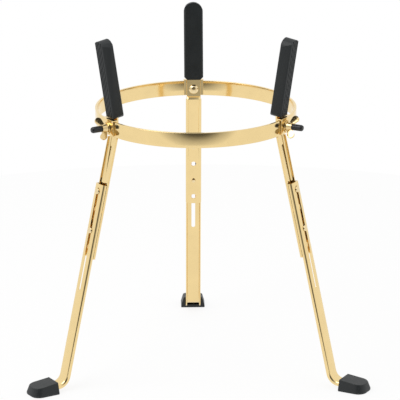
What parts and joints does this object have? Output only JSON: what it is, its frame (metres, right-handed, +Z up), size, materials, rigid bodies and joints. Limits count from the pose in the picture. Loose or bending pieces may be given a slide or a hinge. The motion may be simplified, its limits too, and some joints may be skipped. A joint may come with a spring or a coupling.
{
  "type": "conga stand",
  "caption": "Free-standing drum stand: a flat steel hoop on slotted, height-adjustable channel legs with rubber boots, and leaning rubber pads that grip the drum's shell.",
  "frame": {"origin": "at floor level, under the middle of the stand's box", "axes": "+Z up along the hoop's axis, +Y towards the back leg"},
  "size_m": [0.5624, 0.4908, 0.5783],
  "materials": {
    "gold_steel": "bright gold-coloured plating on steel",
    "zinc_steel": "zinc plating, satin",
    "rubber": "matt moulded rubber",
    "black_plastic": "satin moulded plastic"
  },
  "bodies": {
    "frame": {"ring_hoop": "gold_steel", "ring_saddle_back": "gold_steel", "upper_leg_back": "gold_steel", "clamp_bolt_upper_back": "zinc_steel", "clamp_bolt_lower_back": "zinc_steel", "weld_nut_upper_back": "zinc_steel", "weld_nut_lower_back": "zinc_steel", "pad_arm_back": "gold_steel", "rubber_pad_back": "rubber", "hub_bolt_back": "zinc_steel", "hub_washer_back": "zinc_steel", "bolt_cap_back": "black_plastic", "ring_saddle_left": "gold_steel", "upper_leg_left": "gold_steel", "clamp_bolt_upper_left": "zinc_steel", "clamp_bolt_lower_left": "zinc_steel", "weld_nut_upper_left": "zinc_steel", "weld_nut_lower_left": "zinc_steel", "pad_arm_left": "gold_steel", "rubber_pad_left": "rubber", "hub_bolt_left": "zinc_steel", "hub_washer_left": "zinc_steel", "bolt_cap_left": "black_plastic", "ring_saddle_right": "gold_steel", "upper_leg_right": "gold_steel", "clamp_bolt_upper_right": "zinc_steel", "clamp_bolt_lower_right": "zinc_steel", "weld_nut_upper_right": "zinc_steel", "weld_nut_lower_right": "zinc_steel", "pad_arm_right": "gold_steel", "rubber_pad_right": "rubber", "hub_bolt_right": "zinc_steel", "hub_washer_right": "zinc_steel", "bolt_cap_right": "black_plastic"},
    "leg_back": {"lower_leg_back": "gold_steel", "rubber_foot_back": "rubber"},
    "nut_back": {"wing_nut_back": "gold_steel"},
    "leg_left": {"lower_leg_left": "gold_steel", "rubber_foot_left": "rubber"},
    "nut_left": {"wing_nut_left": "gold_steel"},
    "leg_right": {"lower_leg_right": "gold_steel", "rubber_foot_right": "rubber"},
    "nut_right": {"wing_nut_right": "gold_steel"}
  },
  "joints": [
    {"name": "leg_height_back", "type": "slide", "parent": "frame", "child": "leg_back", "axis": [0, -0.225, 0.9744], "range_m": [0, 0.06]},
    {"name": "wing_nut_turn_back", "type": "hinge", "parent": "frame", "child": "nut_back", "pos_m": [0, 0.09623, 0.43105], "axis": [0, 1, 0], "continuous": true},
    {"name": "leg_height_left", "type": "slide", "parent": "frame", "child": "leg_left", "axis": [0.1948, 0.1125, 0.9744], "range_m": [0, 0.06]},
    {"name": "wing_nut_turn_left", "type": "hinge", "parent": "frame", "child": "nut_left", "pos_m": [-0.14679, -0.15802, 0.43105], "axis": [-0.866, -0.5, 0], "continuous": true},
    {"name": "leg_height_right", "type": "slide", "parent": "frame", "child": "leg_right", "axis": [-0.1948, 0.1125, 0.9744], "range_m": [0, 0.06]},
    {"name": "wing_nut_turn_right", "type": "hinge", "parent": "frame", "child": "nut_right", "pos_m": [0.14679, -0.15802, 0.43105], "axis": [0.866, -0.5, 0], "continuous": true}
  ]
}
